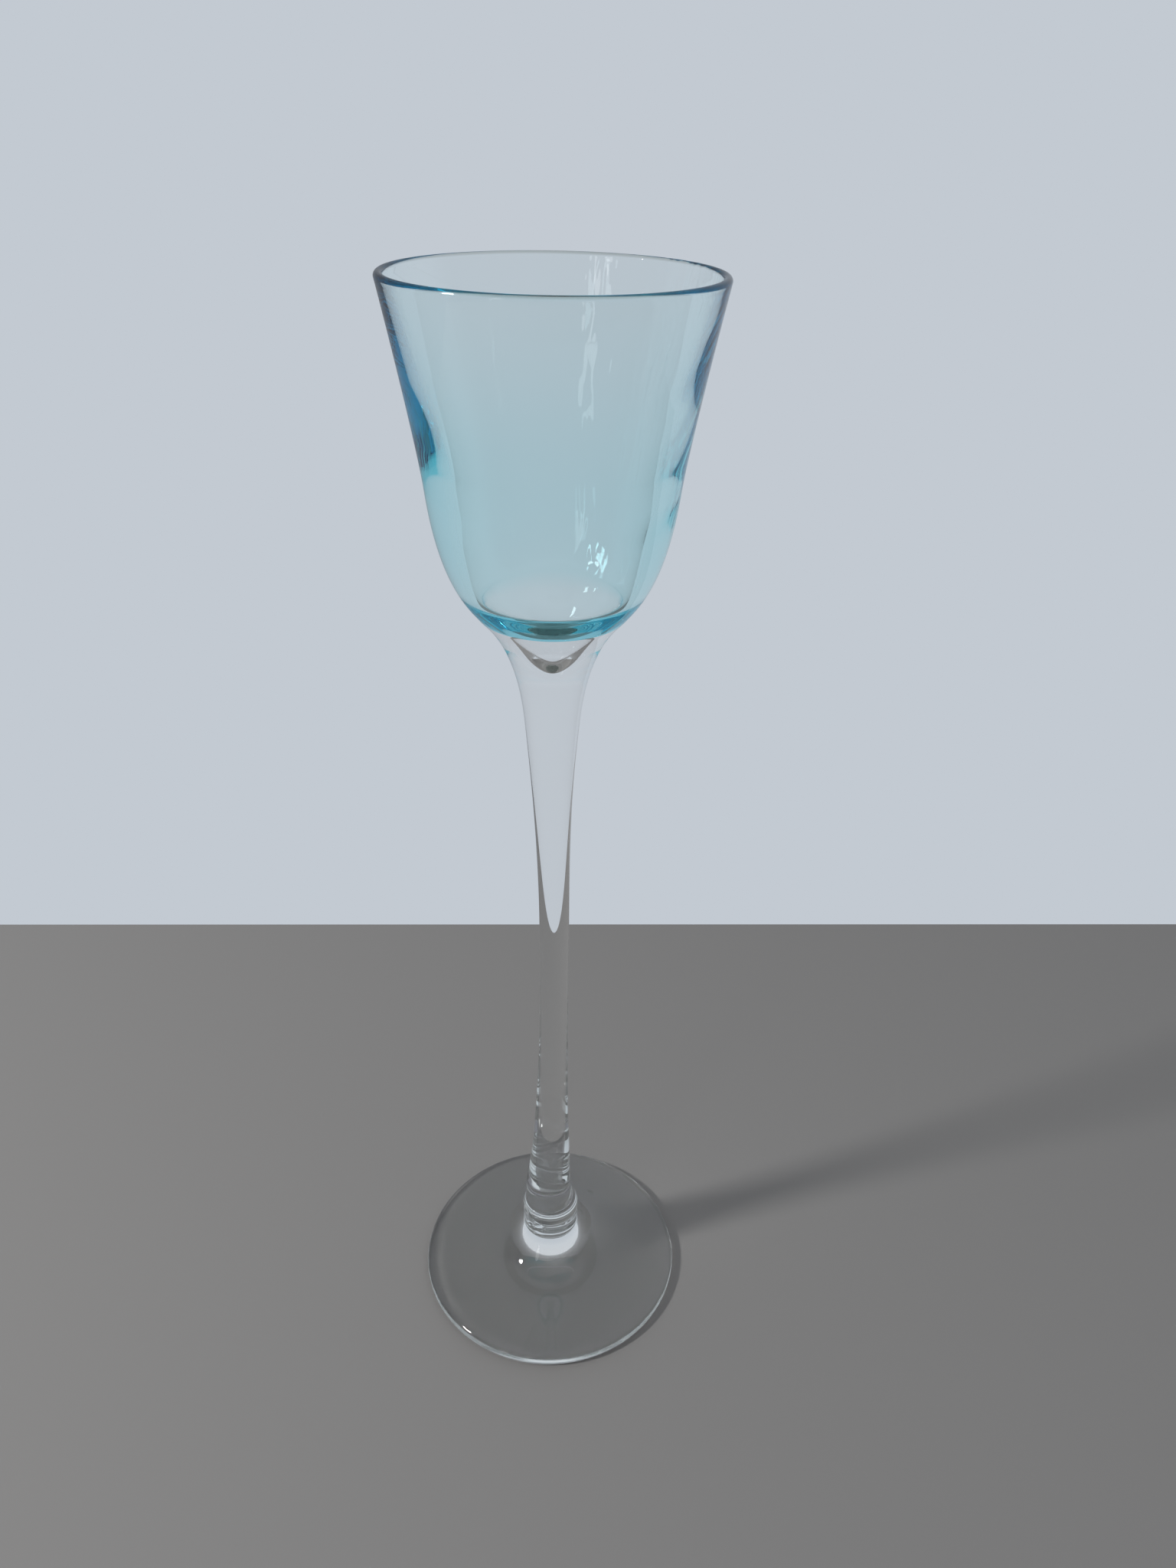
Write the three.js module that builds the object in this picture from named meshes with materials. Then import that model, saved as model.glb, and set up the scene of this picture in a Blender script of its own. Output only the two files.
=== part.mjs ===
// A hand-made cordial glass: an aqua blown bowl, a clear drawn stem and a clear pressed foot.
// Millimetres, +Z up. The origin is the middle of the foot's underside, on the glass's axis.
import * as THREE from 'three';

const degrees = THREE.MathUtils.degToRad;

// Facets round the axis
const sides = 48;

// Space left between two pieces where the hot glass was joined
const jointGap = 0.3;

// Foot: a low disc that sweeps up into a short neck
const footRadius = 29.5;
const footEdgeThickness = 2.7;
const edgePullIn = 16.7;
const edgePullUp = 2.56;
const dishRadius = 19.7;
const dishDepth = 2.1;
const neckHeight = 20.4;
const neckRadius = 6.2;
const neckTopRadius = 6.4;
const neckSweepHeight = 13;
const neckPullOut = 4;
const neckPullDown = 6.15;
const neckLipHeight = 2.8;

// Stem: drawn down to a waist and flared into a trumpet
const stemLength = 146.3;
const stemEndRadius = 4.85;
const stemEndDepth = 2.4;
const stemWaistRadius = 2.92;
const stemWaistHeight = 64.6;
const stemTaperPull = 20;
const stemTaperRadius = 3.7;
const stemWaistPullDown = 25;
const stemWaistPullUp = 27.4;
const throatRadius = 5.01;
const throatHeight = 126.05;
const throatSlope = degrees(84.4);
const throatPullDown = 19.65;
const throatPullUp = 14.85;

// Joint between stem and bowl: a steep ring, from the outside up to the corner of the cavity
const jointRadius = 12.9;
const jointSlope = degrees(52.4);
const jointPullDown = 2.07;
const jointPullUp = 2.91;
const cornerRadius = 11.87;
const cornerRise = 4.08;
const cornerSlope = degrees(23.8);
const cornerPull = 1.86;

// Well in the stem's head: a ledge inside the joint that turns down into a pointed hollow
const ledgePull = 2.59;
const brinkRadius = 6.95;
const brinkRise = 0.35;
const brinkSlope = degrees(60);
const brinkPull = 0.63;
const wellPull = 2.66;
const wellDepth = 9.06;
const wellTipPull = 1.9;

// Bowl: a flared cone with a rounded shoulder and a wall that thickens downwards
const bowlHeight = 53.3;
const rimRadius = 26.2;
const rimThickness = 1.45;
const rimSlope = degrees(78.4);
const rimPull = 10.4;
const bellyHeight = 21.3;
const bellyRadius = 20.6;
const bellySlope = degrees(83.9);
const bellyPullDown = 15.2;
const bellyPullUp = 6;
const heelRadius = 17.7;
const heelHeight = 26.3;
const heelSlope = degrees(74.9);
const heelPull = 2.5;
const cavityRadius = 16.3;
const cavityHeight = 18.3;
const cavitySlope = degrees(80.5);
const cavityPull = 8.6;

// Heights that follow from the stack of pieces
const stemTop = neckHeight + stemLength;
const bowlTop = stemTop + bowlHeight;

const aquaGlass = new THREE.MeshStandardMaterial({
  color: 0x8fcbd9,
  roughness: 0.04,
  metalness: 0,
  transparent: true,
  opacity: 0.5,
});
const clearGlass = new THREE.MeshStandardMaterial({
  color: 0xdfe6e6,
  roughness: 0.04,
  metalness: 0,
  transparent: true,
  opacity: 0.35,
});

const at = (radius, height) => new THREE.Vector2(radius, height);

// A step of the given length in a direction measured from the horizontal, outwards and up.
function along(start, length, angle) {
  return at(start.x + length * Math.cos(angle), start.y + length * Math.sin(angle));
}

// A point moved back along a slope until it is nearer to the axis by the gap.
const insetBy = (gap, point, slope) => along(point, -gap / Math.cos(slope), slope);

// Points of a cubic curve, from its first end to its last.
function cubic(start, startPull, endPull, end, steps) {
  return new THREE.CubicBezierCurve(start, startPull, endPull, end).getPoints(steps);
}

// Points of a quarter or half turn of an ellipse about a centre.
function turn(centre, radiusX, radiusY, from, to, steps) {
  const clockwise = to < from;
  const curve = new THREE.EllipseCurve(centre.x, centre.y, radiusX, radiusY, from, to, clockwise);
  return curve.getPoints(steps);
}

// A shallow spherical cap from the axis out to its edge. A negative rise hollows it.
function cap(edge, rise, steps) {
  const ballRadius = (edge.x ** 2 + rise ** 2) / (2 * Math.abs(rise));
  const reach = Math.asin(Math.min(1, edge.x / ballRadius));
  const side = Math.sign(rise);
  const middle = edge.y + rise - side * ballRadius;
  return Array.from({ length: steps + 1 }, (_, step) => {
    const angle = (reach * step) / steps;
    return at(ballRadius * Math.sin(angle), middle + side * ballRadius * Math.cos(angle));
  });
}

// Joins stretches of an outline and drops the points that two stretches share.
function outline(...stretches) {
  const points = stretches.flat();
  return points.filter((point, i) => i === 0 || point.distanceTo(points[i - 1]) > 1e-6);
}

// Turns an outline about the axis. A piece that reaches the axis starts and ends exactly on it.
function turned(name, points, material) {
  const geometry = new THREE.LatheGeometry(points, sides);
  geometry.rotateX(Math.PI / 2);
  const mesh = new THREE.Mesh(geometry, material);
  mesh.name = name;
  return mesh;
}

// The foot's outline runs from the middle of the underside, round the edge and up the neck.
function makeFoot() {
  const edgeRound = footEdgeThickness / 2;
  const edgeCentre = at(footRadius - edgeRound, edgeRound);
  const edgeTop = at(edgeCentre.x, footEdgeThickness);
  const neckFoot = at(neckRadius, neckSweepHeight);
  const edgePull = at(edgeTop.x - edgePullIn, edgeTop.y + edgePullUp);
  const neckPull = at(neckFoot.x + neckPullOut, neckFoot.y - neckPullDown);
  const socketEdge = at(stemEndRadius, neckHeight - jointGap);
  const lipCentre = at(stemEndRadius, socketEdge.y - neckLipHeight);
  const lipWidth = neckTopRadius - stemEndRadius;
  return turned('foot', outline(
    cap(at(dishRadius, 0), dishDepth, 6),
    turn(edgeCentre, edgeRound, edgeRound, -Math.PI / 2, Math.PI / 2, 8),
    cubic(edgeTop, edgePull, neckPull, neckFoot, 16),
    turn(lipCentre, lipWidth, neckLipHeight, 0, Math.PI / 2, 6),
    cap(socketEdge, -stemEndDepth, 5).reverse(),
  ), clearGlass);
}

// The stem's outline runs up the taper and the trumpet, up the joint, over the ledge and down the well.
function makeStem() {
  const end = at(stemEndRadius, neckHeight);
  const waist = at(stemWaistRadius, neckHeight + stemWaistHeight);
  const taper = at(stemTaperRadius, end.y + stemTaperPull);
  const throat = at(throatRadius, neckHeight + throatHeight);
  const head = insetBy(jointGap, at(jointRadius, stemTop), jointSlope);
  const corner = insetBy(jointGap, at(cornerRadius, stemTop + cornerRise), cornerSlope);
  const brink = at(brinkRadius, stemTop + brinkRise);
  const tip = at(0, stemTop - wellDepth);
  return turned('stem', outline(
    cap(end, -stemEndDepth, 5),
    cubic(end, taper, at(waist.x, waist.y - stemWaistPullDown), waist, 9),
    cubic(waist, at(waist.x, waist.y + stemWaistPullUp),
      along(throat, -throatPullDown, throatSlope), throat, 8),
    cubic(throat, along(throat, throatPullUp, throatSlope),
      along(head, -jointPullDown, jointSlope), head, 10),
    cubic(corner, along(corner, -ledgePull, cornerSlope),
      along(brink, brinkPull, brinkSlope), brink, 6),
    cubic(brink, along(brink, -wellPull, brinkSlope), at(wellTipPull, tip.y), tip, 8),
  ), clearGlass);
}

// The bowl's outline runs up the outside, over the lip, down the cavity and back down the joint.
function makeBowl() {
  const lipRound = rimThickness / 2;
  const lipCentre = at(rimRadius - lipRound, bowlTop - lipRound);
  const joint = at(jointRadius, stemTop);
  const belly = at(bellyRadius, stemTop + bellyHeight);
  const lipOutside = at(rimRadius, lipCentre.y);
  const heel = at(heelRadius, stemTop + heelHeight);
  const cavity = at(cavityRadius, stemTop + cavityHeight);
  const corner = at(cornerRadius, stemTop + cornerRise);
  return turned('bowl', outline(
    cubic(joint, along(joint, jointPullUp, jointSlope),
      along(belly, -bellyPullDown, bellySlope), belly, 10),
    cubic(belly, along(belly, bellyPullUp, bellySlope),
      along(lipOutside, -rimPull, rimSlope), lipOutside, 5),
    turn(lipCentre, lipRound, lipRound, 0, Math.PI, 6),
    cubic(heel, along(heel, -heelPull, heelSlope), along(cavity, heelPull, cavitySlope), cavity, 4),
    cubic(cavity, along(cavity, -cavityPull, cavitySlope),
      along(corner, cornerPull, cornerSlope), corner, 8),
    [joint],
  ), aquaGlass);
}

const glass = new THREE.Group();
glass.add(makeFoot(), makeStem(), makeBowl());

export default glass;
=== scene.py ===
"""Dresses a hand-made cordial glass: an aqua bowl, a clear stem and a clear foot."""

import logging
import math
from dataclasses import dataclass, field
from enum import Enum
from functools import cache

import bpy
from mathutils import Matrix, Vector
from mathutils.geometry import interpolate_bezier


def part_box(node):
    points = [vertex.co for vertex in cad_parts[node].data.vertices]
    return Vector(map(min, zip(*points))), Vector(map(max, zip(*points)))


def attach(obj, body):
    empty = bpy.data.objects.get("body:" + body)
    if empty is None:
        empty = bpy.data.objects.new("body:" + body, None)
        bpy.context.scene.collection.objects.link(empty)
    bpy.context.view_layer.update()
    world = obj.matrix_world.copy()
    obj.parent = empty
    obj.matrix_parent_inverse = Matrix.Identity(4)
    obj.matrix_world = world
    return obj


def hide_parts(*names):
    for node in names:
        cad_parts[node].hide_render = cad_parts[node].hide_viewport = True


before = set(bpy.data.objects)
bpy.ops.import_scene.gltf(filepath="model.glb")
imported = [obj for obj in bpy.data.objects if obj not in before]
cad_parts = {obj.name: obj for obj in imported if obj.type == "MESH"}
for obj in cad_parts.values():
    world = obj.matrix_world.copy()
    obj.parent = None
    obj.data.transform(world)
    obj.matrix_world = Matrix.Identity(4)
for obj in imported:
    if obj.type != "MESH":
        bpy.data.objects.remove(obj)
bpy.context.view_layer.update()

log = logging.getLogger("cordial_glass")

Colour = tuple[float, float, float]
Place = tuple[float, float, float]
Span = tuple[float, float]

MM = 0.001
BODY = "root"
JOINT_MASK = "joint"
# Space left between two fused pieces, so that each stays a closed body
HAIRLINE = 0.02 * MM
# How near a fused stretch the middle of a fused face lies, well under the hairline
JOINT_REACH = 0.006 * MM
# Points that are nearer to each other than this are one point
SAME_PLACE = 1e-7
WHITE: Colour = (1.0, 1.0, 1.0)


class GlassKind(Enum):
    """The two melts of glass, named as the record's material slots."""

    AQUA = "aqua_glass"
    CLEAR = "clear_glass"


class Direction(Enum):
    """The ways in which hand work moves a surface."""

    SIDEWAYS = "X"
    ACROSS = "NORMAL"


class Easing(Enum):
    """The ways in which a value runs from one end of a span to the other."""

    EVEN = "LINEAR"
    SOFT = "SMOOTHSTEP"


class Sum(Enum):
    """The sums that the materials and the light need."""

    TIMES = "MULTIPLY"
    MINUS = "SUBTRACT"


def deselect_all() -> None:
    """Leaves edit mode and selects nothing, so that the next operator acts on its own piece."""
    if bpy.context.object is not None and bpy.context.object.mode != "OBJECT":
        bpy.ops.object.mode_set(mode="OBJECT")
    bpy.ops.object.select_all(action="DESELECT")


def polar(start: Vector, length: float, angle: float) -> Vector:
    """Steps from a point of an outline.

    Args:
        start: The point, as radius and height.
        length: How far to go, negative to go back.
        angle: The direction in degrees above the horizontal, outwards.

    Returns:
        The new point.
    """
    turn = math.radians(angle)
    return start + length * Vector((math.cos(turn), math.sin(turn)))


def fade(value: float, start: float, stop: float) -> float:
    """Gives a soft step.

    Args:
        value: Where to look.
        start: Where the step leaves 0.
        stop: Where it reaches 1. A stop below the start turns the step round.

    Returns:
        A share from 0 to 1.
    """
    share = max(0.0, min(1.0, (value - start) / (stop - start)))
    return share * share * (3 - 2 * share)


def feed(tree: bpy.types.NodeTree, inlet: bpy.types.NodeSocket,
         value: bpy.types.NodeSocket | float | Colour) -> None:
    """Links a socket to another node's result, or sets it to a constant.

    Args:
        tree: The nodes.
        inlet: The socket.
        value: The result, the number or the colour that goes in.
    """
    if isinstance(value, bpy.types.NodeSocket):
        tree.links.new(value, inlet)
    elif isinstance(value, tuple):
        inlet.default_value = (*value, 1)
    else:
        inlet.default_value = value


def axes(tree: bpy.types.NodeTree, place: bpy.types.NodeSocket) -> bpy.types.bpy_prop_collection:
    """Splits a place or a direction into its X, Y and Z.

    Args:
        tree: The nodes.
        place: The place or the direction.

    Returns:
        The three results, by their names.
    """
    split = tree.nodes.new("ShaderNodeSeparateXYZ")
    feed(tree, split.inputs["Vector"], place)
    return split.outputs


def ramp(tree: bpy.types.NodeTree, value: bpy.types.NodeSocket, span: Span,
         ends: Span = (0.0, 1.0), easing: Easing = Easing.EVEN) -> bpy.types.NodeSocket:
    """Adds a change from one number to another.

    Args:
        tree: The nodes.
        value: What the change follows.
        span: Where the change starts and ends.
        ends: The numbers before and after it.
        easing: How it runs in between.

    Returns:
        The changing number.
    """
    node = tree.nodes.new("ShaderNodeMapRange")
    node.interpolation_type = easing.value
    node.inputs["From Min"].default_value, node.inputs["From Max"].default_value = span
    node.inputs["To Min"].default_value, node.inputs["To Max"].default_value = ends
    feed(tree, node.inputs["Value"], value)
    return node.outputs["Result"]


def reckon(tree: bpy.types.NodeTree, first: bpy.types.NodeSocket | float, sign: Sum,
           second: bpy.types.NodeSocket | float) -> bpy.types.NodeSocket:
    """Adds a sum of two numbers.

    Args:
        tree: The nodes.
        first: The first number.
        sign: The kind of sum.
        second: The second number.

    Returns:
        The sum's result.
    """
    node = tree.nodes.new("ShaderNodeMath")
    node.operation = sign.value
    feed(tree, node.inputs[0], first)
    feed(tree, node.inputs[1], second)
    return node.outputs["Value"]


def blend(tree: bpy.types.NodeTree, share: bpy.types.NodeSocket,
          start: bpy.types.NodeSocket | Colour, end: Colour) -> bpy.types.NodeSocket:
    """Adds a mix of two colours.

    Args:
        tree: The nodes.
        share: How much of the end colour there is.
        start: The colour at a share of 0.
        end: The colour at a share of 1.

    Returns:
        The mixed colour.
    """
    node = tree.nodes.new("ShaderNodeMix")
    node.data_type = "RGBA"
    feed(tree, node.inputs["Factor"], share)
    feed(tree, node.inputs["A"], start)
    feed(tree, node.inputs["B"], end)
    return node.outputs["Result"]


@dataclass
class Outline:
    """Half of a turned piece's section, as points of radius and height.

    Attributes:
        points: The points in order.
        fused: The stretches that are fused to a neighbour, as pairs of points.
    """

    points: list[Vector] = field(default_factory=list)
    fused: list[tuple[Vector, Vector]] = field(default_factory=list)

    def add(self, point: Vector, fused: bool = False) -> "Outline":
        """Adds a point unless the outline is already there.

        Args:
            point: The new point.
            fused: Whether the stretch up to it is fused to a neighbour.

        Returns:
            The outline itself.
        """
        if not self.points:
            self.points.append(point.copy())
        elif (point - self.points[-1]).length > SAME_PLACE:
            if fused:
                self.fused.append((self.points[-1], point.copy()))
            self.points.append(point.copy())
        return self

    def curve(self, pull_out: Vector, pull_in: Vector, end: Vector, steps: int) -> "Outline":
        """Carries the outline on along a cubic curve.

        Args:
            pull_out: The control point that the curve leaves towards.
            pull_in: The control point that the curve arrives from.
            end: The curve's last point.
            steps: The number of segments.

        Returns:
            The outline itself.
        """
        for point in interpolate_bezier(self.points[-1], pull_out, pull_in, end, steps + 1):
            self.add(Vector(point))
        return self

    def line(self, end: Vector, steps: int, fused: bool = False) -> "Outline":
        """Carries the outline on along a straight line.

        Args:
            end: The line's last point.
            steps: The number of segments.
            fused: Whether the line is fused to a neighbour.

        Returns:
            The outline itself.
        """
        start = self.points[-1].copy()
        for step in range(steps):
            self.add(start.lerp(end, (step + 1) / steps), fused)
        return self

    def turn(self, centre: Vector, reach: Vector, start: float, stop: float,
             steps: int) -> "Outline":
        """Carries the outline on along part of an ellipse.

        Args:
            centre: The ellipse's centre.
            reach: Its half width and half height.
            start: The first angle in degrees.
            stop: The last angle in degrees.
            steps: The number of segments.

        Returns:
            The outline itself.
        """
        for step in range(steps + 1):
            angle = math.radians(start + (stop - start) * step / steps)
            self.add(centre + Vector((reach.x * math.cos(angle), reach.y * math.sin(angle))))
        return self

    def cap(self, edge: Vector, rise: float, steps: int, to_axis: bool = False,
            fused: bool = False) -> "Outline":
        """Carries the outline on along a shallow ball cap.

        Args:
            edge: The cap's edge.
            rise: How far the middle stands above the edge, negative for a hollow.
            steps: The number of segments.
            to_axis: Whether the cap runs from its edge to the axis.
            fused: Whether the cap is fused to a neighbour.

        Returns:
            The outline itself.
        """
        ball = (edge.x**2 + rise**2) / (2 * abs(rise))
        reach = math.asin(min(1.0, edge.x / ball))
        side = math.copysign(1.0, rise)
        middle = edge.y + rise - side * ball
        order = range(steps, -1, -1) if to_axis else range(steps + 1)
        for step in order:
            angle = reach * step / steps
            height = middle + side * ball * math.cos(angle)
            self.add(Vector((ball * math.sin(angle), height)), fused)
        return self

    def is_fused(self, point: Vector) -> bool:
        """Tells whether a point lies on a fused stretch.

        Args:
            point: The point, as radius and height.

        Returns:
            True on a fused stretch.
        """
        for start, end in self.fused:
            along = end - start
            share = max(0.0, min(1.0, (point - start).dot(along) / along.length_squared))
            if (start + share * along - point).length < JOINT_REACH:
                return True
        return False


@dataclass(frozen=True, kw_only=True)
class GlassFinish:
    """A melt of glass that tints by depth, with the faint ripples of hand work.

    Attributes:
        kind: The melt.
        absorbed: How much red, green and blue the glass takes from light, per metre.
        ior: The refractive index.
        ripple_height: The height of the ripples, in metres.
        ripple_scale: Ripples per metre.
        ripple_detail: How many finer layers the ripples have.
        ripple_stretch: How much closer ripples follow each other round the glass than up it.
        ripple_back: Where the ripples start and are full, from the middle towards the back.
        ripple_right: Where the ripples start and are full, from the middle towards the right.
        density_margin: How far the density exceeds what is absorbed, so that no colour is cut off.
    """

    kind: GlassKind
    absorbed: Colour
    ior: float = 1.51
    ripple_height: float = 0.45 * MM
    ripple_scale: float = 330.0
    ripple_detail: float = 1.0
    ripple_stretch: float = 0.12
    ripple_back: Span = (6 * MM, 14 * MM)
    ripple_right: Span = (1 * MM, 5 * MM)
    density_margin: float = 1.1

    @cache
    def material(self) -> bpy.types.Material:
        """Makes the material, once for all pieces of the same melt.

        Returns:
            A see-through material that tints by depth and lets light cross the fused joints.
        """
        material = bpy.data.materials.new(self.kind.value)
        material.use_nodes = True
        tree = material.node_tree
        tree.nodes.clear()
        output = tree.nodes.new("ShaderNodeOutputMaterial")
        glass = tree.nodes.new("ShaderNodeBsdfPrincipled")
        glass.inputs["Base Color"].default_value = (*WHITE, 1)
        glass.inputs["Transmission Weight"].default_value = 1.0
        glass.inputs["Roughness"].default_value = 0.0
        glass.inputs["IOR"].default_value = self.ior
        tree.links.new(glass.outputs["BSDF"], output.inputs["Surface"])
        self.join(tree, glass)
        self.tint(tree, output)
        self.ripple(tree, glass)
        self.paint_shade(tree, glass)
        return material

    @staticmethod
    def joint_mask(tree: bpy.types.NodeTree) -> bpy.types.NodeSocket:
        """Gives 1 on the faces of a fused joint and 0 elsewhere."""
        mask = tree.nodes.new("ShaderNodeAttribute")
        mask.attribute_name = JOINT_MASK
        return mask.outputs["Fac"]

    @staticmethod
    def place(tree: bpy.types.NodeTree) -> bpy.types.NodeSocket:
        """Gives the place on the piece."""
        return tree.nodes.new("ShaderNodeTexCoord").outputs["Object"]

    def join(self, tree: bpy.types.NodeTree, glass: bpy.types.Node) -> None:
        """Makes light cross the faces of a fused joint without bending.

        Args:
            tree: The material's nodes.
            glass: The glass shader.
        """
        index = ramp(tree, self.joint_mask(tree), (0.0, 1.0), (self.ior, 1.0))
        feed(tree, glass.inputs["IOR"], index)

    def tint(self, tree: bpy.types.NodeTree, output: bpy.types.Node) -> None:
        """Adds the absorption that colours thick glass more than thin.

        Args:
            tree: The material's nodes.
            output: The material's output node.
        """
        density = max(self.absorbed) * self.density_margin
        tint = tree.nodes.new("ShaderNodeVolumeAbsorption")
        feed(tree, tint.inputs["Color"], tuple(1 - share / density for share in self.absorbed))
        feed(tree, tint.inputs["Density"], density)
        feed(tree, output.inputs["Volume"], tint.outputs["Volume"])

    def ripple(self, tree: bpy.types.NodeTree, glass: bpy.types.Node) -> None:
        """Adds the upright ripples of hand-worked glass to the right half of the back.

        Args:
            tree: The material's nodes.
            glass: The glass shader.
        """
        place = self.place(tree)
        stretch = tree.nodes.new("ShaderNodeMapping")
        stretch.inputs["Scale"].default_value = (1, 1, self.ripple_stretch)
        noise = tree.nodes.new("ShaderNodeTexNoise")
        noise.inputs["Scale"].default_value = self.ripple_scale
        noise.inputs["Detail"].default_value = self.ripple_detail
        bump = tree.nodes.new("ShaderNodeBump")
        bump.inputs["Distance"].default_value = self.ripple_height
        side = axes(tree, place)
        right = ramp(tree, side["X"], self.ripple_right)
        back = ramp(tree, side["Y"], self.ripple_back)
        feed(tree, stretch.inputs["Vector"], place)
        feed(tree, noise.inputs["Vector"], stretch.outputs["Vector"])
        feed(tree, bump.inputs["Height"], noise.outputs["Fac"])
        feed(tree, bump.inputs["Strength"], reckon(tree, right, Sum.TIMES, back))
        feed(tree, glass.inputs["Normal"], bump.outputs["Normal"])

    def paint_shade(self, tree: bpy.types.NodeTree, glass: bpy.types.Node) -> None:
        """Paints shade on parts of the surface. A plain melt has no painted shade."""


@dataclass(frozen=True, kw_only=True)
class BowlFinish(GlassFinish):
    """The bowl's melt, with painted shade: a deeper tint on the front of the joint and a grey lip.

    Attributes:
        painted_shade: The painted shade that tints the light crossing the joint a deeper aqua.
        painted_shade_span: Where that painted shade starts and is full, from the middle towards
            the front.
        lip: The painted shade that greys the light crossing the top of the rounded lip.
        lip_shade_span: The heights at which that painted shade starts and is full.
    """

    painted_shade: Colour
    painted_shade_span: Span = (2 * MM, -4 * MM)
    lip: Colour
    lip_shade_span: Span = (219.5 * MM, 219.8 * MM)

    def paint_shade(self, tree: bpy.types.NodeTree, glass: bpy.types.Node) -> None:
        """Paints shade: deepens the colour at the front of the fused joint and greys the lip.

        Args:
            tree: The material's nodes.
            glass: The glass shader.
        """
        side = axes(tree, self.place(tree))
        # Painted shade: a deeper aqua painted on the front of the fused joint only, not all round
        # it.
        front = ramp(tree, side["Y"], self.painted_shade_span)
        top = ramp(tree, side["Z"], self.lip_shade_span)
        joint = reckon(tree, front, Sum.TIMES, self.joint_mask(tree))
        # Painted shade in the base colour: the deeper tint on the joint and the grey on the lip.
        colour = blend(tree, top, blend(tree, joint, WHITE, self.painted_shade), self.lip)
        feed(tree, glass.inputs["Base Color"], colour)


@dataclass(kw_only=True)
class TurnedPiece:
    """A piece of glass that is turned about the axis.

    Attributes:
        finish: The melt it is made of.
        name: The object's name, which is its node's name and the word glass.
        sides: The number of facets round the axis.
        smooth_angle: The angle in degrees up to which facets are shaded as one surface.
    """

    finish: GlassFinish
    name: str = ""
    sides: int = 192
    smooth_angle: float = 40.0

    def outline(self) -> Outline:
        """Gives the half section."""
        raise NotImplementedError

    def spin(self, line: Outline) -> bpy.types.Object:
        """Draws an outline by extruding one vertex, and spins it into a closed body.

        Args:
            line: The half section.

        Returns:
            The new object, at the origin.
        """
        points = [Vector((point.x, 0.0, point.y)) for point in line.points]
        deselect_all()
        bpy.ops.mesh.primitive_plane_add(size=MM, location=(0, 0, 0))
        piece = bpy.context.object
        piece.name = self.name
        bpy.ops.object.mode_set(mode="EDIT")
        bpy.ops.mesh.merge(type="CENTER")
        bpy.ops.transform.translate(value=points[0])
        for start, end in zip(points, points[1:]):
            bpy.ops.mesh.extrude_region_move(TRANSFORM_OT_translate={"value": end - start})
        bpy.ops.mesh.select_all(action="SELECT")
        bpy.ops.mesh.spin(steps=self.sides, angle=math.tau, center=(0, 0, 0), axis=(0, 0, 1))
        bpy.ops.mesh.select_all(action="SELECT")
        bpy.ops.mesh.remove_doubles(threshold=SAME_PLACE)
        bpy.ops.mesh.normals_make_consistent(inside=False)
        bpy.ops.object.mode_set(mode="OBJECT")
        bpy.ops.object.shade_smooth_by_angle(angle=math.radians(self.smooth_angle))
        return piece

    @staticmethod
    def mark_joints(piece: bpy.types.Object, line: Outline) -> None:
        """Writes the mask of the fused faces.

        Args:
            piece: The spun piece.
            line: The half section it was spun from.
        """
        mask = piece.data.attributes.new(JOINT_MASK, "FLOAT", "FACE")
        for face, item in zip(piece.data.polygons, mask.data):
            middle = Vector((Vector(face.center[:2]).length, face.center.z))
            item.value = float(line.is_fused(middle))

    @staticmethod
    def push(piece: bpy.types.Object, name: str, shares: dict[int, float], strength: float,
             direction: Direction, wave_size: float | None = None) -> None:
        """Moves part of the surface.

        Args:
            piece: The spun piece.
            name: What the move is called.
            shares: How far each vertex goes along, from 0 to 1.
            strength: The move's length, or the height of its waves.
            direction: The way that the surface goes.
            wave_size: The size of the waves, or None for a plain move.
        """
        group = piece.vertex_groups.new(name=name)
        for index, share in shares.items():
            group.add([index], share, "REPLACE")
        move = piece.modifiers.new(name, "DISPLACE")
        move.direction = direction.value
        move.strength = strength
        move.vertex_group = group.name
        if wave_size is None:
            move.mid_level = 0.0
        else:
            move.texture = bpy.data.textures.new(name, "CLOUDS")
            move.texture.noise_scale = wave_size
            move.texture.noise_depth = 1
        deselect_all()
        piece.select_set(True)
        bpy.context.view_layer.objects.active = piece
        bpy.ops.object.modifier_apply(modifier=move.name)

    def work(self, piece: bpy.types.Object) -> None:
        """Adds the marks of hand work to the shape. A plain piece has none."""

    def build(self) -> bpy.types.Object:
        """Makes the piece, dresses it and puts it in its node's place.

        Returns:
            The finished object.
        """
        line = self.outline()
        piece = self.spin(line)
        self.mark_joints(piece, line)
        self.work(piece)
        piece.data.materials.clear()
        piece.data.materials.append(self.finish.material())
        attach(piece, BODY)
        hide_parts(self.name.removesuffix("_glass"))
        log.info("%s: %d faces", piece.name, len(piece.data.polygons))
        return piece


@dataclass(frozen=True)
class StemEnd:
    """The rounded lower end of the stem, which the foot's neck holds.

    Attributes:
        radius: The radius where the neck's lip laps the stem.
        depth: How far the rounded end reaches below the lip.
        steps: The number of segments of the rounded end.
    """

    radius: float = 5.55 * MM
    depth: float = 2.4 * MM
    steps: int = 16


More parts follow.
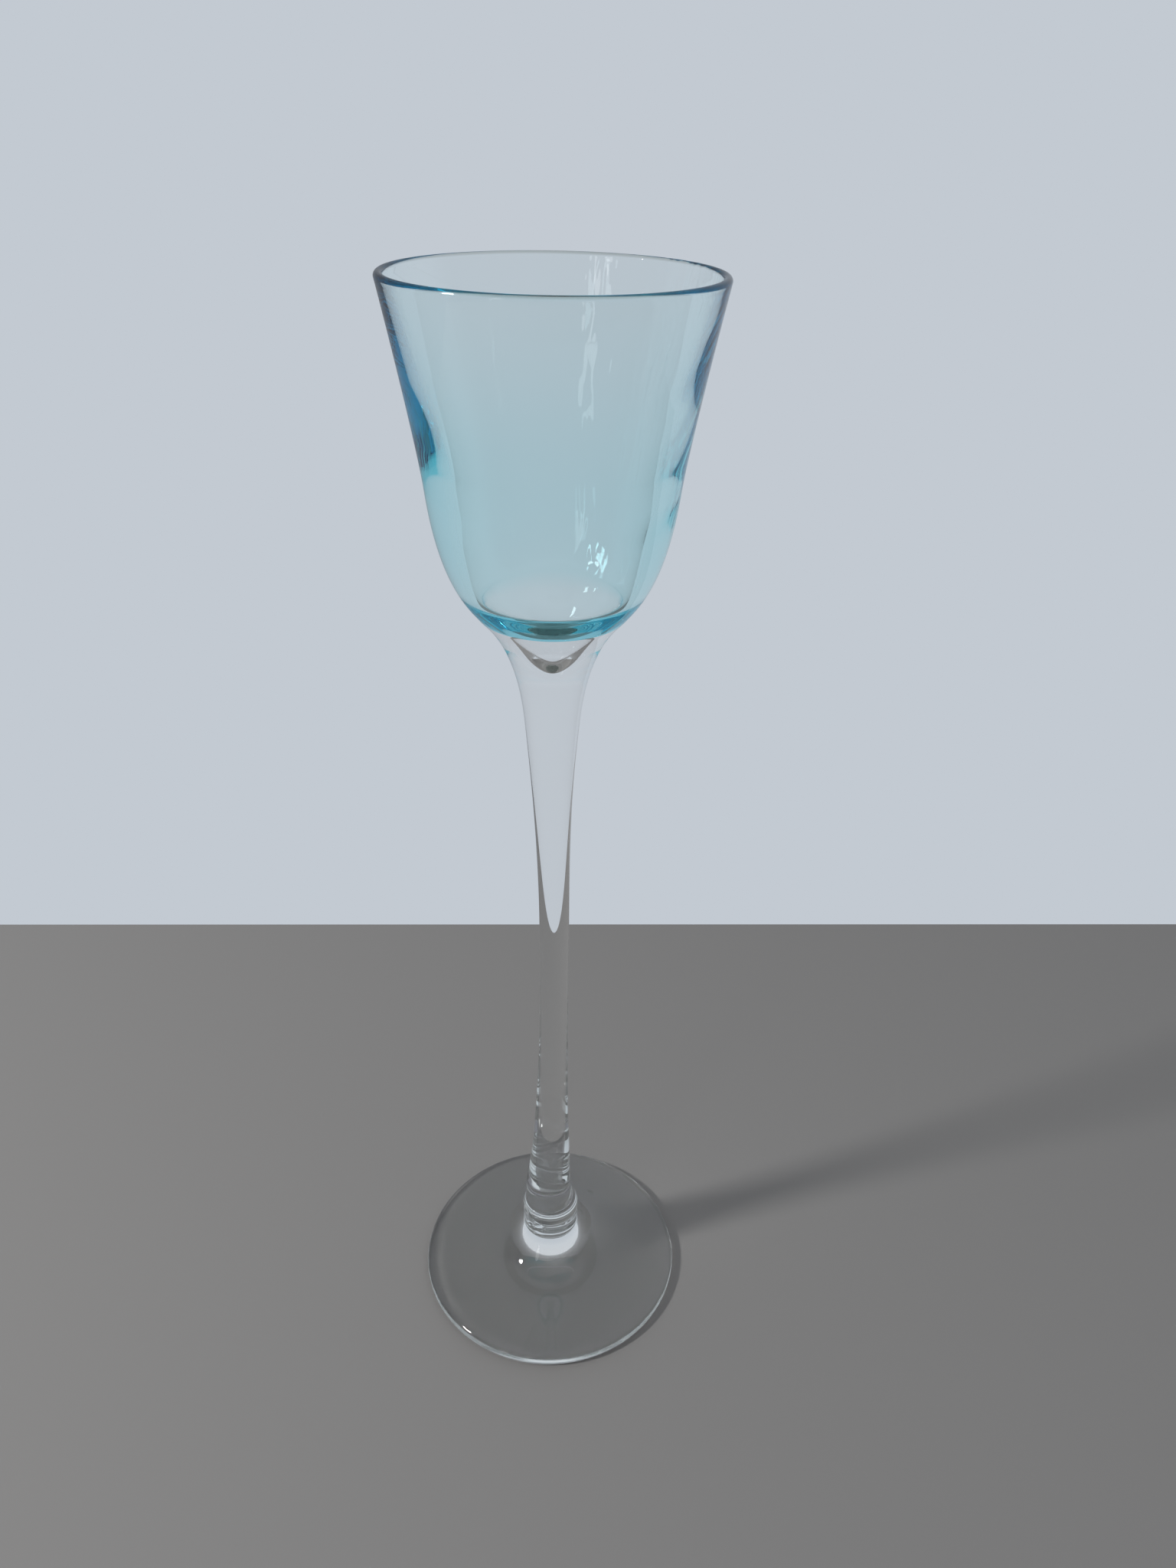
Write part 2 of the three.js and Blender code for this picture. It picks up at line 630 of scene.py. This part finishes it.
@dataclass(frozen=True)
class Cavity:
    """The hollow of the glass, from the rim's cone down to the well, and the joint beside it.

    Slopes are degrees above the horizontal, outwards. Pulls are lengths of the curves' handles.

    Attributes:
        heel: Where the cone under the rim ends, as radius and height.
        belly: Where the wall is steepest.
        corner: Where the wall turns into the ledge, and where bowl and stem meet inside.
        joint: Where bowl and stem meet outside.
        brink: Where the ledge turns down into the well.
        well_bottom: The height of the well's tip.
    """

    heel: Vector = Vector((17.7, 193)) * MM
    heel_slope: float = 74.9
    heel_pull: float = 2.5 * MM
    belly: Vector = Vector((16.3, 185)) * MM
    belly_slope: float = 80.5
    belly_pull: float = 8.6 * MM
    corner: Vector = Vector((11.87, 170.78)) * MM
    corner_slope: float = 23.8
    corner_pull: float = 1.86 * MM
    joint: Vector = Vector((12.9, 166.7)) * MM
    joint_slope: float = 52.4
    ledge_pull: float = 2.59 * MM
    brink: Vector = Vector((6.95, 167.05)) * MM
    brink_slope: float = 60.0
    brink_pull: float = 0.63 * MM
    well_pull: float = 2.66 * MM
    well_bottom: float = 157.64 * MM
    tip_pull: float = 1.9 * MM
    cone_steps: int = 40
    heel_steps: int = 24
    belly_steps: int = 40
    joint_steps: int = 12
    ledge_steps: int = 48
    well_steps: int = 48

    def wall(self, line: Outline, aside: Vector) -> None:
        """Carries an outline from the inside of the lip down to the cavity's corner.

        Args:
            line: The outline, which has reached the lip.
            aside: How far the corner is moved, to leave the hairline.
        """
        corner = self.corner + aside
        line.line(self.heel, self.cone_steps)
        line.curve(polar(self.heel, -self.heel_pull, self.heel_slope),
                   polar(self.belly, self.heel_pull, self.belly_slope),
                   self.belly, self.heel_steps)
        line.curve(polar(self.belly, -self.belly_pull, self.belly_slope),
                   polar(corner, self.corner_pull, self.corner_slope),
                   corner, self.belly_steps)

    def well(self, line: Outline) -> None:
        """Carries an outline from the corner over the ledge and down the well.

        Args:
            line: The outline, which has reached the corner.
        """
        tip = Vector((0, self.well_bottom))
        line.curve(polar(self.corner, -self.ledge_pull, self.corner_slope),
                   polar(self.brink, self.brink_pull, self.brink_slope),
                   self.brink, self.ledge_steps)
        line.curve(polar(self.brink, -self.well_pull, self.brink_slope),
                   tip + Vector((self.tip_pull, 0)), tip, self.well_steps)


@dataclass(kw_only=True)
class Foot(TurnedPiece):
    """The pressed foot: a disc that sweeps up into a short neck round the stem's end."""

    name: str = "foot_glass"
    stem_end: StemEnd = StemEnd()
    edge_thickness: float = 2.7 * MM
    edge_pull: Vector = Vector((-16.7, 2.56)) * MM
    dish_radius: float = 19.7 * MM
    dish_depth: float = 2.1 * MM
    neck_radius: float = 6.2 * MM
    neck_top_radius: float = 6.4 * MM
    neck_pull: Vector = Vector((4, -6.15)) * MM
    sweep_height: float = 13 * MM
    lip_height: float = 2.8 * MM
    joint_gap: float = 0.3 * MM
    dish_steps: int = 24
    edge_steps: int = 16
    sweep_steps: int = 72
    neck_steps: int = 12
    lip_steps: int = 12

    def __post_init__(self) -> None:
        """Takes the foot's reach and its neck's height from the frame, and closes the gap."""
        _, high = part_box("foot")
        self.radius = high.x
        self.neck_height = high.z + self.joint_gap

    def outline(self) -> Outline:
        """Gives the half section, from the middle of the underside to the stem's seat."""
        round_edge = self.edge_thickness / 2
        edge = Vector((self.radius - round_edge, round_edge))
        edge_top = edge + Vector((0, round_edge))
        neck_foot = Vector((self.neck_radius, self.sweep_height))
        seat = Vector((self.stem_end.radius, self.neck_height - HAIRLINE))
        lip = seat - Vector((0, self.lip_height))
        lip_reach = Vector((self.neck_top_radius - seat.x, self.lip_height))
        line = Outline()
        line.cap(Vector((self.dish_radius, 0)), self.dish_depth, self.dish_steps)
        line.add(Vector((edge.x - round_edge, 0)))
        line.turn(edge, Vector((round_edge, round_edge)), -90, 90, self.edge_steps)
        line.curve(edge_top + self.edge_pull, neck_foot + self.neck_pull,
                   neck_foot, self.sweep_steps)
        line.line(lip + Vector((lip_reach.x, 0)), self.neck_steps)
        line.turn(lip, lip_reach, 0, 90, self.lip_steps)
        return line.cap(seat, -self.stem_end.depth, self.stem_end.steps, to_axis=True, fused=True)


@dataclass(kw_only=True)
class Stem(TurnedPiece):
    """The drawn stem: a taper, a waist and a trumpet whose hollow head closes the bowl.

    Attributes:
        bow: How far the stem's middle bows to the right.
        bow_foot: The heights at which the bow starts and is full.
        bow_top: The heights at which the bow ends and is full.
        kick: How far the stem's end bows, negative to the left.
        kick_foot: The heights at which the kick starts and is full.
        kick_top: The heights at which the kick ends and is full.
    """

    name: str = "stem_glass"
    stem_end: StemEnd = StemEnd()
    cavity: Cavity = Cavity()
    waist: Vector = Vector((2.92, 85)) * MM
    waist_pull_down: float = 25 * MM
    waist_pull_up: float = 27.4 * MM
    taper_pull: float = 18.5 * MM
    taper_radius: float = 3.7 * MM
    throat: Vector = Vector((5.01, 146.45)) * MM
    throat_slope: float = 84.44
    throat_pull_down: float = 19.65 * MM
    throat_pull_up: float = 14.85 * MM
    head_pull: float = 2.07 * MM
    bow: float = 0.55 * MM
    bow_foot: Span = (26 * MM, 80 * MM)
    bow_top: Span = (142 * MM, 96 * MM)
    kick: float = -0.5 * MM
    kick_foot: Span = (20.6 * MM, 24 * MM)
    kick_top: Span = (40 * MM, 24 * MM)
    sweep_steps: int = 60

    def __post_init__(self) -> None:
        """Takes the height of the stem's end from the frame."""
        low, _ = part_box("stem")
        self.end_height = low.z + self.stem_end.depth

    def outline(self) -> Outline:
        """Gives the half section, from the rounded end up to the head and down its well."""
        end = Vector((self.stem_end.radius, self.end_height))
        head = self.cavity.joint
        line = Outline()
        line.cap(end, -self.stem_end.depth, self.stem_end.steps, fused=True)
        line.curve(Vector((self.taper_radius, end.y + self.taper_pull)),
                   self.waist - Vector((0, self.waist_pull_down)),
                   self.waist, self.sweep_steps)
        line.curve(self.waist + Vector((0, self.waist_pull_up)),
                   polar(self.throat, -self.throat_pull_down, self.throat_slope),
                   self.throat, self.sweep_steps)
        line.curve(polar(self.throat, self.throat_pull_up, self.throat_slope),
                   polar(head, -self.head_pull, self.cavity.joint_slope),
                   head, self.sweep_steps)
        line.line(self.cavity.corner, self.cavity.joint_steps, fused=True)
        self.cavity.well(line)
        return line

    def work(self, piece: bpy.types.Object) -> None:
        """Bows the drawn stem a little to one side, and its end to the other.

        Args:
            piece: The spun stem.
        """
        bow: dict[int, float] = {}
        kick: dict[int, float] = {}
        for vertex in piece.data.vertices:
            height = vertex.co.z
            bow[vertex.index] = fade(height, *self.bow_foot) * fade(height, *self.bow_top)
            kick[vertex.index] = fade(height, *self.kick_foot) * fade(height, *self.kick_top)
        self.push(piece, "bow", bow, self.bow, Direction.SIDEWAYS)
        self.push(piece, "kick", kick, self.kick, Direction.SIDEWAYS)


@dataclass(kw_only=True)
class Bowl(TurnedPiece):
    """The blown bowl: a flared ring of glass that the stem's head closes.

    Attributes:
        lean: How far the cavity's middle stands to the right.
        lean_foot: The heights at which the lean starts and is full.
        lean_top: The heights at which the lean ends and is full.
        wave_height: The height of the waves inside the right wall.
        wave_size: Their size along the wall.
        wave_foot: The heights at which the waves start and are full.
        wave_top: The heights at which the waves end and are full.
        wave_side: Where the waves start and are full, from the middle towards the right.
    """

    name: str = "bowl_glass"
    cavity: Cavity = Cavity()
    rim_thickness: float = 1.45 * MM
    rim_slope: float = 78.4
    rim_pull: float = 10.4 * MM
    belly: Vector = Vector((20.6, 188)) * MM
    belly_slope: float = 83.85
    belly_pull_down: float = 15.22 * MM
    belly_pull_up: float = 6 * MM
    joint_pull: float = 2.91 * MM
    lean: float = 0.27 * MM
    lean_foot: Span = (182 * MM, 188 * MM)
    lean_top: Span = (206 * MM, 194 * MM)
    wave_height: float = 0.14 * MM
    wave_size: float = 11 * MM
    wave_foot: Span = (172.5 * MM, 178 * MM)
    wave_top: Span = (218 * MM, 212 * MM)
    wave_side: Span = (2 * MM, 12 * MM)
    belly_steps: int = 56
    flare_steps: int = 40
    lip_steps: int = 16

    def __post_init__(self) -> None:
        """Takes the rim's reach and height from the frame."""
        _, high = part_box("bowl")
        self.rim_radius = high.x
        self.rim_height = high.z

    def outline(self) -> Outline:
        """Gives the half section: up the outside, over the lip, down inside, along the joint."""
        aside = Vector((HAIRLINE, 0))
        lip_round = self.rim_thickness / 2
        lip = Vector((self.rim_radius - lip_round, self.rim_height - lip_round))
        outside = lip + Vector((lip_round, 0))
        joint = self.cavity.joint + aside
        line = Outline([joint])
        line.curve(polar(joint, self.joint_pull, self.cavity.joint_slope),
                   polar(self.belly, -self.belly_pull_down, self.belly_slope),
                   self.belly, self.belly_steps)
        line.curve(polar(self.belly, self.belly_pull_up, self.belly_slope),
                   polar(outside, -self.rim_pull, self.rim_slope),
                   outside, self.flare_steps)
        line.turn(lip, Vector((lip_round, lip_round)), 0, 180, self.lip_steps)
        self.cavity.wall(line, aside)
        return line.line(joint, self.cavity.joint_steps, fused=True)

    def work(self, piece: bpy.types.Object) -> None:
        """Sets the cavity a little off the middle and gives its wall the waves of hand work.

        Args:
            piece: The spun bowl.
        """
        lean: dict[int, float] = {}
        waves: dict[int, float] = {}
        for vertex in piece.data.vertices:
            if vertex.co.xy.dot(vertex.normal.xy) < 0:
                height = vertex.co.z
                lean[vertex.index] = fade(height, *self.lean_foot) * fade(height, *self.lean_top)
                share = fade(height, *self.wave_foot) * fade(height, *self.wave_top)
                waves[vertex.index] = share * fade(vertex.co.x, *self.wave_side)
        self.push(piece, "lean", lean, self.lean, Direction.SIDEWAYS)
        self.push(piece, "waves", waves, self.wave_height, Direction.ACROSS, self.wave_size)


@dataclass(frozen=True)
class Lamp:
    """A soft light that faces the glass.

    Attributes:
        name: The light's name.
        place: Where it hangs.
        size: Its width and height.
        power: Its power in watts.
        aim_height: The height on the glass's axis that it faces.
    """

    name: str
    place: Place
    size: Span
    power: float
    aim_height: float

    def hang(self) -> None:
        """Adds the light to the scene."""
        deselect_all()
        bpy.ops.object.light_add(type="AREA", location=self.place)
        lamp = bpy.context.object
        lamp.name = self.name
        lamp.data.shape = "ELLIPSE"
        lamp.data.size, lamp.data.size_y = self.size
        lamp.data.energy = self.power
        aim = Vector((0, 0, self.aim_height)) - Vector(self.place)
        lamp.rotation_euler = aim.to_track_quat("-Z", "Y").to_euler()


@dataclass(frozen=True)
class Viewpoint:
    """The camera at the photograph's viewpoint.

    Attributes:
        place: Where the camera stands.
        yaw: Its turn to the left in degrees.
        pitch: Its tilt downwards in degrees.
        roll: Its roll in degrees.
        focal_pixels: The focal length in pixels of the photograph.
        picture_height: The photograph's height in pixels.
        sensor: The sensor's longer side in millimetres.
        nearest: The distance from which things are seen.
    """

    place: Place = (0.0, -183.47 * MM, 241.33 * MM)
    yaw: float = -2.077
    pitch: float = 30.633
    roll: float = 1.26
    focal_pixels: float = 1505.6
    picture_height: int = 2048
    sensor: float = 36.0
    nearest: float = 10 * MM

    def set_up(self) -> None:
        """Adds the camera to the scene."""
        deselect_all()
        bpy.ops.object.camera_add()
        camera = bpy.context.object
        camera.data.sensor_width = self.sensor
        camera.data.lens = self.sensor * self.focal_pixels / self.picture_height
        camera.data.clip_start = self.nearest
        yaw, pitch, roll = (math.radians(turn) for turn in (self.yaw, self.pitch, self.roll))
        turn = (Matrix.Rotation(yaw, 4, "Z") @ Matrix.Rotation(math.pi / 2 - pitch, 4, "X")
                @ Matrix.Rotation(roll, 4, "Z"))
        camera.matrix_world = Matrix.Translation(self.place) @ turn
        bpy.context.scene.camera = camera


@dataclass
class Studio:
    """The plain table, the soft light and the camera.

    Attributes:
        table_edge: Where the table ends behind the glass.
        table_reach: The length of its sides.
        table_drop: How far it lies under the foot.
        backdrop_span: Where the room turns into the backdrop, from front to back.
        ceiling_span: Where the walls turn into the sky, upwards.
        mirror_span: Where the dimming of mirrored light changes, from left to right.
        mirror_shade: How much mirrored light is dimmed on the left and on the right.
        bounces: How often light is followed, and how often when it is mirrored.
        bent_bounces: How often light is followed through glass.
    """

    table_edge: float = 130 * MM
    table_reach: float = 0.9
    table_drop: float = 0.05 * MM
    table_colour: Colour = (0.212, 0.204, 0.195)
    table_roughness: float = 0.8
    paper_colour: Colour = (0.545, 0.59, 0.645)
    sky_colour: Colour = (0.62, 0.65, 0.69)
    room_colour: Colour = (0.2, 0.2, 0.23)
    backdrop_span: Span = (-0.25, 0.3)
    ceiling_span: Span = (0.5, 0.8)
    mirror_span: Span = (-0.3, 0.3)
    mirror_shade: Span = (0.55, 0.2)
    key: Lamp = Lamp("key", (-0.62, -0.2, 0.55), (0.1, 0.1), power=4.5, aim_height=0.12)
    strip: Lamp = Lamp("strip", (-0.56, -0.8, 0.45), (0.14, 0.4), power=0.3, aim_height=0.2)
    viewpoint: Viewpoint = Viewpoint()
    bounces: int = 96
    bent_bounces: int = 64

    def lay_table(self) -> None:
        """Lays the table, a hair under the foot."""
        deselect_all()
        middle = (0, self.table_edge - self.table_reach / 2, -self.table_drop)
        bpy.ops.mesh.primitive_plane_add(size=self.table_reach, location=middle)
        table = bpy.context.object
        table.name = "table"
        bpy.ops.object.transform_apply(location=True, rotation=True, scale=True)
        material = bpy.data.materials.new("table")
        material.use_nodes = True
        paint = material.node_tree.nodes["Principled BSDF"]
        paint.inputs["Base Color"].default_value = (*self.table_colour, 1)
        paint.inputs["Roughness"].default_value = self.table_roughness
        table.data.materials.append(material)

    def light_room(self) -> None:
        """Makes a pale backdrop behind the glass, a grey room before it and a bright ceiling."""
        world = bpy.data.worlds.new("studio")
        bpy.context.scene.world = world
        world.use_nodes = True
        tree = world.node_tree
        background = tree.nodes["Background"]
        way = axes(tree, tree.nodes.new("ShaderNodeTexCoord").outputs["Generated"])
        back = ramp(tree, way["Y"], self.backdrop_span, easing=Easing.SOFT)
        above = ramp(tree, way["Z"], self.ceiling_span, easing=Easing.SOFT)
        walls = blend(tree, back, self.room_colour, self.paper_colour)
        feed(tree, background.inputs["Color"], blend(tree, above, walls, self.sky_colour))
        feed(tree, background.inputs["Strength"], self.mirror_strength(tree, way["X"]))

    def mirror_strength(self, tree: bpy.types.NodeTree,
                        across: bpy.types.NodeSocket) -> bpy.types.NodeSocket:
        """Dims the light that is only mirrored in the glass, most on the left.

        Args:
            tree: The world's nodes.
            across: The light's direction from left to right.

        Returns:
            The strength of the light.
        """
        path = tree.nodes.new("ShaderNodeLightPath").outputs
        mirrored = reckon(tree, path["Is Glossy Ray"], Sum.MINUS, path["Is Transmission Ray"])
        shade = ramp(tree, across, self.mirror_span, self.mirror_shade)
        return reckon(tree, 1.0, Sum.MINUS, reckon(tree, mirrored, Sum.TIMES, shade))

    def build(self) -> None:
        """Sets up the whole studio."""
        self.viewpoint.set_up()
        self.lay_table()
        self.light_room()
        self.key.hang()
        self.strip.hang()
        scene = bpy.context.scene
        scene.view_settings.view_transform = "Standard"
        scene.cycles.max_bounces = self.bounces
        scene.cycles.glossy_bounces = self.bounces
        scene.cycles.transmission_bounces = self.bent_bounces


def main() -> None:
    """Builds the glass and the studio."""
    logging.basicConfig(level=logging.INFO)
    # The bowl's last two colours are painted shade: a deeper aqua at the front of the joint, a
    # grey lip.
    aqua = BowlFinish(kind=GlassKind.AQUA, absorbed=(43.0, 7.5, 4.2),
                      painted_shade=(0.14, 0.7, 0.9), lip=(0.52, 0.52, 0.48))
    clear = GlassFinish(kind=GlassKind.CLEAR, absorbed=(1.2, 0.5, 0.8))
    Studio().build()
    for piece in (Foot(finish=clear), Stem(finish=clear), Bowl(finish=aqua)):
        piece.build()


if __name__ == "__main__":
    main()
